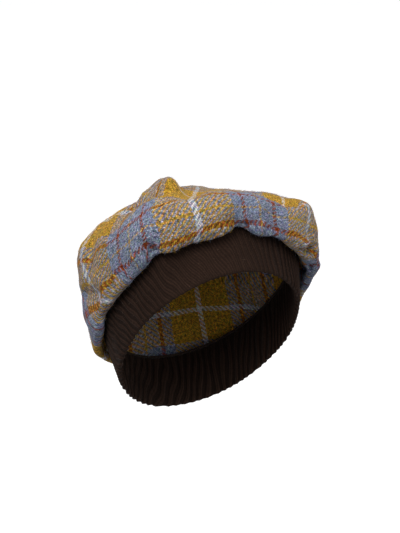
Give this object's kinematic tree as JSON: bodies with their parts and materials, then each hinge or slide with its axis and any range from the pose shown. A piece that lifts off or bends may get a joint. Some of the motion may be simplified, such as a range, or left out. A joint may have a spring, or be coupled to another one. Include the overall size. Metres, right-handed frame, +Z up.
{
  "type": "tam o shanter",
  "caption": "Soft round hat as worn: a full checked tweed crown, puffed and slouched, gathered onto a dark rib-knit band that fits round the head.",
  "frame": {"origin": "centre of the head opening, in the plane of the band's rim", "axes": "+Z up as worn, -Y to the front over the forehead, +X to the wearer's left; the rim is tilted 40 degrees, high at the front and low at the nape"},
  "size_m": [0.218, 0.209, 0.2099],
  "materials": {
    "crown": "matte woollen tweed twill in a mustard and blue check",
    "ribbed_band": "matte dark brown rib knit"
  },
  "bodies": {
    "root": {"crown": "crown", "ribbed_band": "ribbed_band"}
  },
  "joints": []
}
